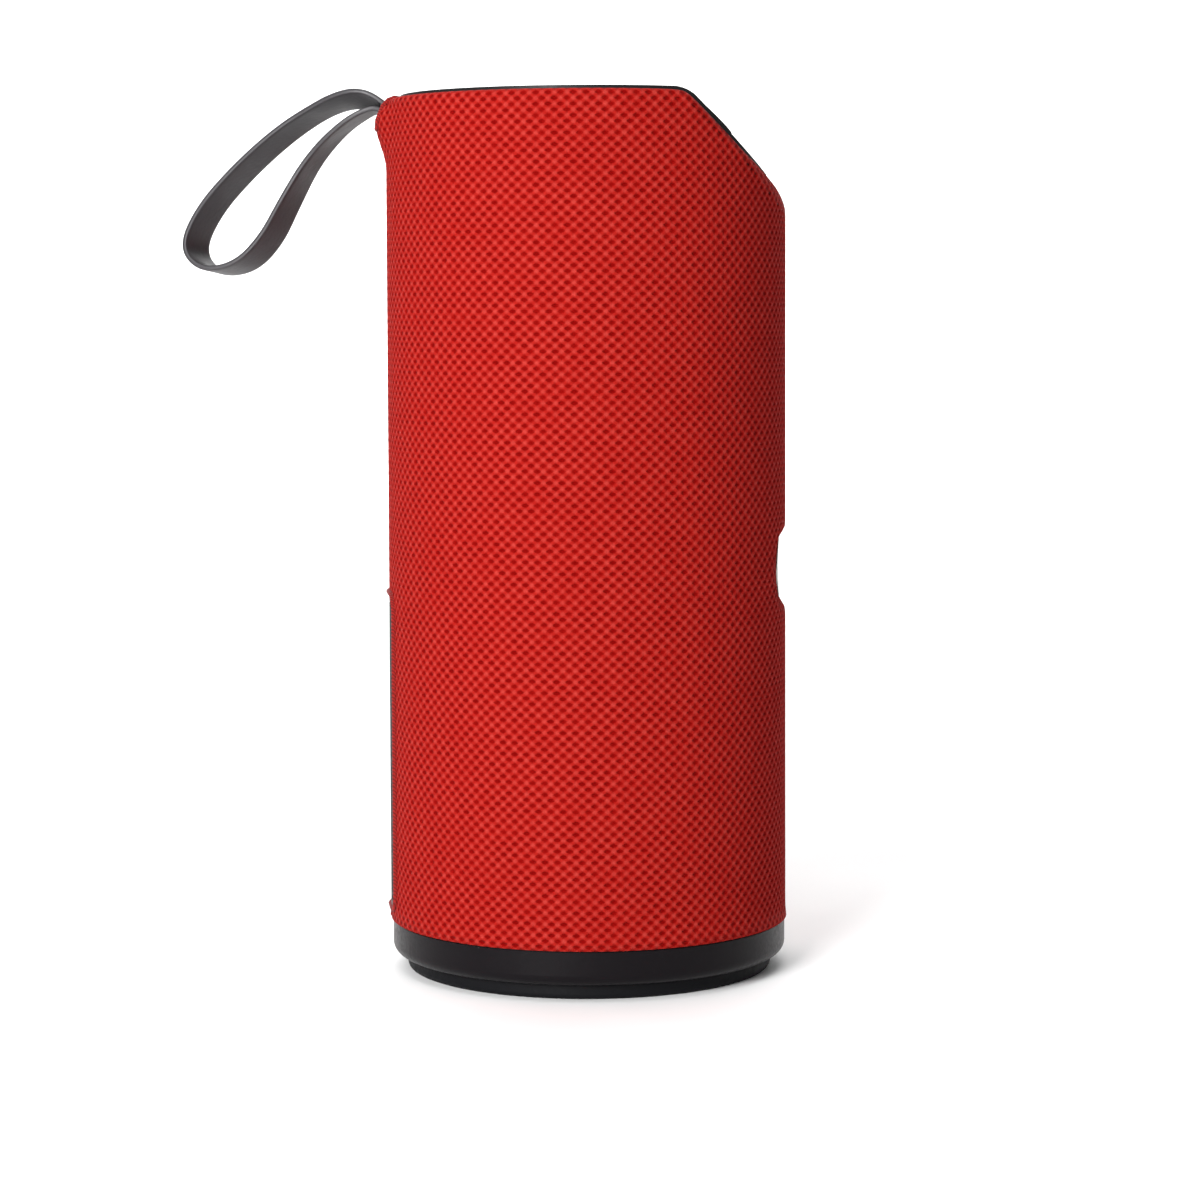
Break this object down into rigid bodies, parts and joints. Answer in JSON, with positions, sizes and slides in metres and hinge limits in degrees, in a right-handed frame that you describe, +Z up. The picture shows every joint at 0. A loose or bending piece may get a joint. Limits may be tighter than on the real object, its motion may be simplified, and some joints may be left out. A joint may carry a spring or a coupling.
{
  "type": "portable speaker",
  "caption": "Upright cylindrical speaker in knitted mesh with a slanted control face, dark base ring and flat strap loop.",
  "frame": {"origin": "centre of the underside of the foot", "axes": "+Z up along the body, +X to the front where the badge is, +Y to the speaker's own left, which a viewer facing the front sees on their right"},
  "size_m": [0.1142, 0.075, 0.1646],
  "materials": {
    "fabric_red": "knitted mesh, red",
    "shell_plastic": "moulded, fine texture",
    "cap_plastic": "satin black",
    "base_plastic": "satin near-black",
    "foot_rubber": "matt",
    "badge_gloss": "high gloss, plain",
    "key_rubber": null,
    "strap_rubber": "matt dark grey",
    "screw_steel": "plated",
    "magnet_steel": "zinc plated",
    "basket_steel": "black",
    "cone_paper": "pressed paper",
    "surround_rubber": "matt",
    "spider_cloth": "stiffened cloth",
    "coil_former": "varnished paper and copper",
    "pcb_green": "solder mask",
    "chip_black": "moulded",
    "part_metal": "tinned",
    "connector_white": "moulded",
    "bezel_plastic": "moulded",
    "lens_clear": "clear light pipe",
    "battery_wrap": "shrink sleeve"
  },
  "bodies": {
    "housing": {"front_shell": "shell_plastic", "rear_shell": "shell_plastic", "fabric_sleeve": "fabric_red", "top_cap": "cap_plastic", "badge_plate": "badge_gloss", "base_cap": "base_plastic", "foot_pad": "foot_rubber", "shell_screws": "screw_steel", "base_screws": "screw_steel", "tact_switches": "part_metal", "keypad_board": "pcb_green", "keypad_screws": "screw_steel", "led_lens": "lens_clear", "microphone": "part_metal", "driver_baffle": "shell_plastic", "baffle_screws": "screw_steel", "driver_screws": "screw_steel", "radiator_frame": "shell_plastic", "radiator_screws": "screw_steel", "radiator_surround": "surround_rubber", "port_bezel": "bezel_plastic", "usb_a_socket": "part_metal", "card_slot": "part_metal", "micro_usb_socket": "part_metal", "aux_jack": "chip_black", "power_switch_body": "part_metal", "main_board": "pcb_green", "bluetooth_module": "part_metal", "board_chips": "chip_black", "board_capacitors": "part_metal", "board_inductor": "chip_black", "board_connectors": "connector_white", "board_screws": "screw_steel", "chassis": "shell_plastic", "battery_cell": "battery_wrap", "battery_tabs": "part_metal", "strap_pin": "screw_steel", "lower_basket": "basket_steel", "lower_magnet": "magnet_steel", "lower_spider": "spider_cloth", "lower_surround": "surround_rubber", "upper_basket": "basket_steel", "upper_magnet": "magnet_steel", "upper_spider": "spider_cloth", "upper_surround": "surround_rubber"},
    "key_mode_body": {"key_mode": "key_rubber"},
    "key_prev_body": {"key_prev": "key_rubber"},
    "key_play_body": {"key_play": "key_rubber"},
    "key_next_body": {"key_next": "key_rubber"},
    "flap_body": {"port_flap": "foot_rubber"},
    "knob_body": {"power_switch_knob": "chip_black"},
    "strap_body": {"strap_loop": "strap_rubber"},
    "lower_cone_body": {"lower_cone": "cone_paper", "lower_coil": "coil_former", "lower_dust_cap": "cone_paper"},
    "upper_cone_body": {"upper_cone": "cone_paper", "upper_coil": "coil_former", "upper_dust_cap": "cone_paper"},
    "radiator_body": {"radiator_plate": "magnet_steel"}
  },
  "joints": [
    {"name": "press_mode", "type": "slide", "parent": "housing", "child": "key_mode_body", "axis": [-0.7071, 0, -0.7071], "range_m": [0, 0.0005], "stiffness_N_per_m": 300},
    {"name": "press_prev", "type": "slide", "parent": "housing", "child": "key_prev_body", "axis": [-0.7071, 0, -0.7071], "range_m": [0, 0.0005], "stiffness_N_per_m": 300},
    {"name": "press_play", "type": "slide", "parent": "housing", "child": "key_play_body", "axis": [-0.7071, 0, -0.7071], "range_m": [0, 0.0005], "stiffness_N_per_m": 300},
    {"name": "press_next", "type": "slide", "parent": "housing", "child": "key_next_body", "axis": [-0.7071, 0, -0.7071], "range_m": [0, 0.0005], "stiffness_N_per_m": 300},
    {"name": "flap_swing", "type": "hinge", "parent": "housing", "child": "flap_body", "pos_m": [-0.0362, 0.0069, 0.041], "axis": [0, 0, -1], "range_deg": [0, 100]},
    {"name": "power_slide", "type": "slide", "parent": "housing", "child": "knob_body", "axis": [0, 0, 1], "range_m": [0, 0.002]},
    {"name": "strap_swing", "type": "hinge", "parent": "housing", "child": "strap_body", "pos_m": [-0.0315, 0, 0.1587], "axis": [0, -1, 0], "range_deg": [0, 15], "stiffness_Nm_per_rad": 0.05},
    {"name": "lower_cone_slide", "type": "slide", "parent": "housing", "child": "lower_cone_body", "axis": [1, 0, 0], "range_m": [-0.0012, 0.0012], "stiffness_N_per_m": 1500, "deforming": ["lower_surround", "lower_spider"]},
    {"name": "upper_cone_slide", "type": "slide", "parent": "housing", "child": "upper_cone_body", "axis": [1, 0, 0], "range_m": [-0.0012, 0.0012], "stiffness_N_per_m": 1500, "deforming": ["upper_surround", "upper_spider"]},
    {"name": "radiator_slide", "type": "slide", "parent": "housing", "child": "radiator_body", "axis": [1, 0, 0], "range_m": [-0.0015, 0.0015], "stiffness_N_per_m": 1500, "deforming": ["radiator_surround"]}
  ]
}
